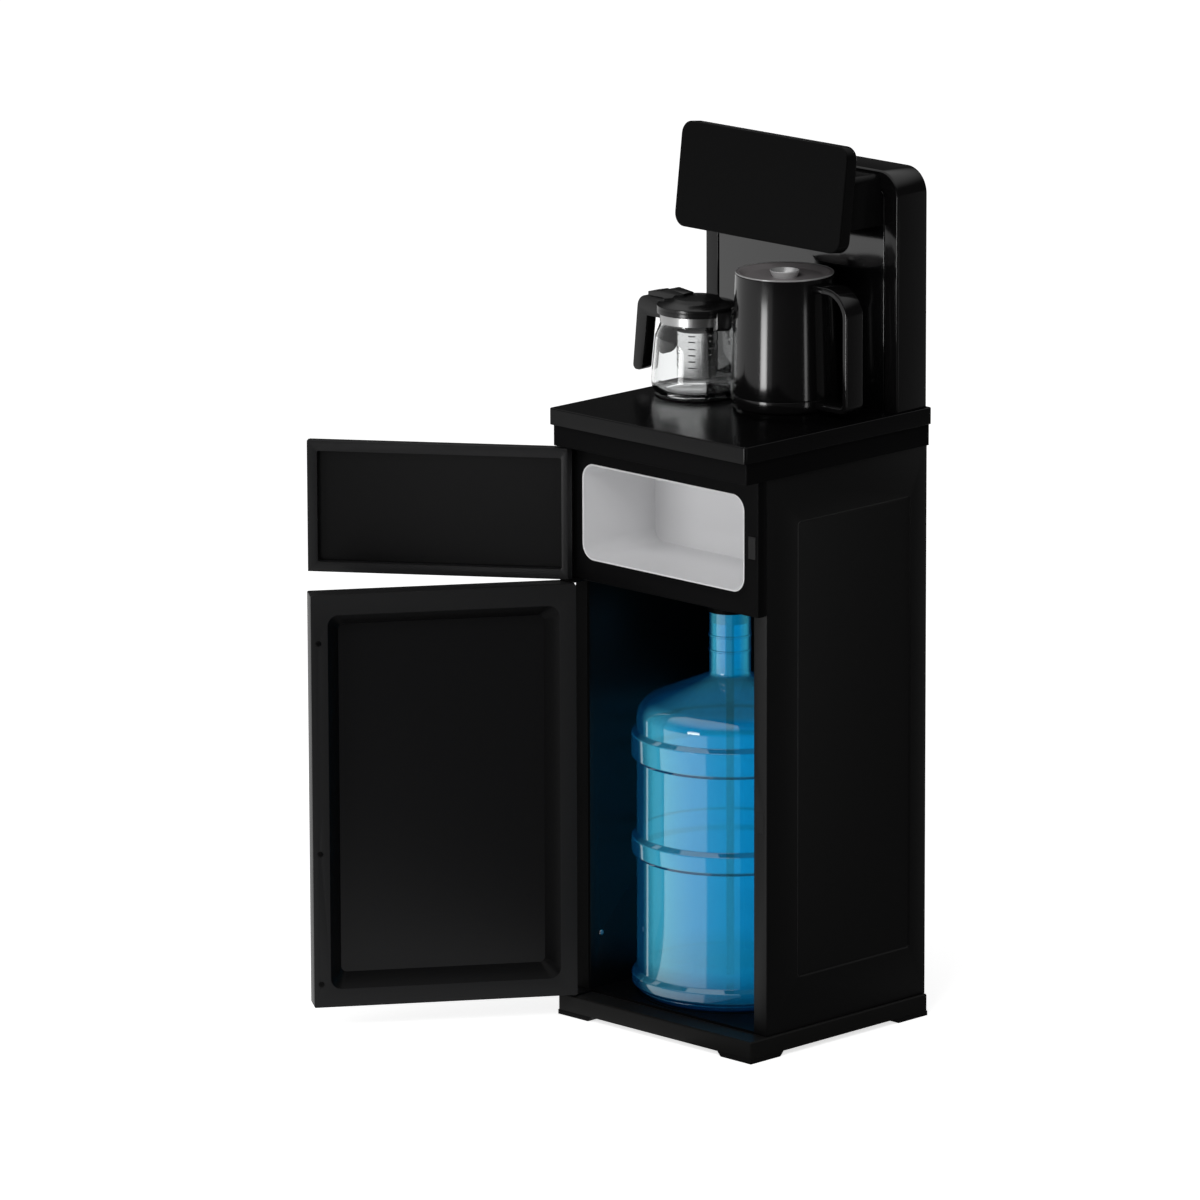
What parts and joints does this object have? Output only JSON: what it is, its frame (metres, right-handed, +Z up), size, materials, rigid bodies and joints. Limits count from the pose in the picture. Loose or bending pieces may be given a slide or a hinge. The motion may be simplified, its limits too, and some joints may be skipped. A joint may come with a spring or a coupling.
{
  "type": "bottom load water cooler",
  "caption": "Slim free-standing bottom load water cooler with a cup compartment, a counter with kettle and teapot, and a tilted head on a back column.",
  "frame": {"origin": "on the floor under the middle of the cabinet, between its side panels", "axes": "+X to the right seen from the front, +Y to the back, +Z up"},
  "size_m": [0.5951, 0.5953, 1.1216],
  "materials": {
    "satin_black_plastic": "satin",
    "gloss_black_plastic": "glossy",
    "door_frame_plastic": "satin",
    "coated_black_steel": "fine powder coat",
    "white_liner_plastic": "satin",
    "black_glass": "mirror gloss",
    "zinc_steel": "plated",
    "stainless": "polished",
    "clear_glass": "clear",
    "blue_bottle": "clear blue moulding",
    "black_rubber": "matt",
    "hose_silicone": "translucent white",
    "board_green": "satin",
    "sink_aluminium": "as extruded",
    "foam_grey": "matt"
  },
  "bodies": {
    "cabinet": {"plinth": "satin_black_plastic", "base_feet": "black_rubber", "bay_floor": "satin_black_plastic", "side_panel_left": "coated_black_steel", "side_panel_right": "coated_black_steel", "back_panel": "coated_black_steel", "machine_deck": "satin_black_plastic", "front_frame": "satin_black_plastic", "cup_liner": "white_liner_plastic", "counter_rim": "satin_black_plastic", "counter_slab": "black_glass", "heating_plate": "gloss_black_plastic", "warming_plate": "black_glass", "column_shell": "gloss_black_plastic", "column_panel": "black_glass", "column_cover": "satin_black_plastic", "column_screws": "zinc_steel", "head_housing": "gloss_black_plastic", "head_shell": "gloss_black_plastic", "head_front": "black_glass", "display_board": "board_green", "kettle_nozzle": "gloss_black_plastic", "teapot_nozzle": "gloss_black_plastic", "riser_tubes": "hose_silicone", "bottom_hinge": "zinc_steel", "middle_hinge": "zinc_steel", "top_hinge": "zinc_steel", "door_magnets": "black_rubber", "cabinet_screws": "zinc_steel", "pump": "satin_black_plastic", "pump_bracket": "zinc_steel", "suction_hose": "hose_silicone", "cold_tank": "foam_grey", "heat_sink": "sink_aluminium", "fan_frame": "satin_black_plastic", "control_board": "board_green", "power_inlet": "satin_black_plastic", "switch_frame": "satin_black_plastic"},
    "fan": {"fan_rotor": "satin_black_plastic"},
    "rocker": {"switch_rocker": "gloss_black_plastic"},
    "lower_door": {"lower_door_skin": "gloss_black_plastic", "lower_door_frame": "door_frame_plastic", "lower_door_panel": "satin_black_plastic", "lower_door_screws": "zinc_steel"},
    "upper_door": {"upper_door_skin": "gloss_black_plastic", "upper_door_frame": "door_frame_plastic", "upper_door_panel": "satin_black_plastic"},
    "kettle": {"kettle_body": "gloss_black_plastic", "kettle_base": "satin_black_plastic", "kettle_handle": "gloss_black_plastic"},
    "kettle_cover": {"kettle_lid": "satin_black_plastic", "kettle_knob": "stainless"},
    "teapot": {"teapot_glass": "clear_glass", "teapot_band": "stainless", "teapot_collar": "satin_black_plastic", "teapot_handle": "satin_black_plastic"},
    "teapot_cover": {"teapot_lid": "satin_black_plastic", "teapot_infuser": "stainless"},
    "bottle": {"bottle_shell": "blue_bottle", "suction_fitting": "satin_black_plastic"}
  },
  "joints": [
    {"name": "lower_door_hinge", "type": "hinge", "parent": "cabinet", "child": "lower_door", "pos_m": [-0.1585, -0.1533, 0.3], "axis": [0, 0, -1], "range_deg": [-125, 40]},
    {"name": "upper_door_hinge", "type": "hinge", "parent": "cabinet", "child": "upper_door", "pos_m": [-0.1585, -0.1533, 0.65], "axis": [0, 0, -1], "range_deg": [-144, 21]},
    {"name": "bottle_slide", "type": "slide", "parent": "cabinet", "child": "bottle", "axis": [0.0644, -0.9979, 0], "range_m": [0, 0.27], "deforming": ["suction_hose"]},
    {"name": "kettle_lift", "type": "slide", "parent": "cabinet", "child": "kettle", "axis": [0, 0, 1], "range_m": [0, 0.014]},
    {"name": "kettle_lid_lift", "type": "slide", "parent": "kettle", "child": "kettle_cover", "axis": [0, 0, 1], "range_m": [0, 0.014]},
    {"name": "teapot_lift", "type": "slide", "parent": "cabinet", "child": "teapot", "axis": [0, 0, 1], "range_m": [0, 0.03]},
    {"name": "teapot_lid_lift", "type": "slide", "parent": "teapot", "child": "teapot_cover", "axis": [0, 0, 1], "range_m": [0, 0.03]},
    {"name": "fan_spin", "type": "hinge", "parent": "cabinet", "child": "fan", "pos_m": [-0.086, 0.143, 0.64], "axis": [0, 1, 0], "continuous": true},
    {"name": "switch_tip", "type": "hinge", "parent": "cabinet", "child": "rocker", "pos_m": [0.055, 0.1525, 0.592], "axis": [0, 0, 1], "range_deg": [-16, 0]}
  ]
}
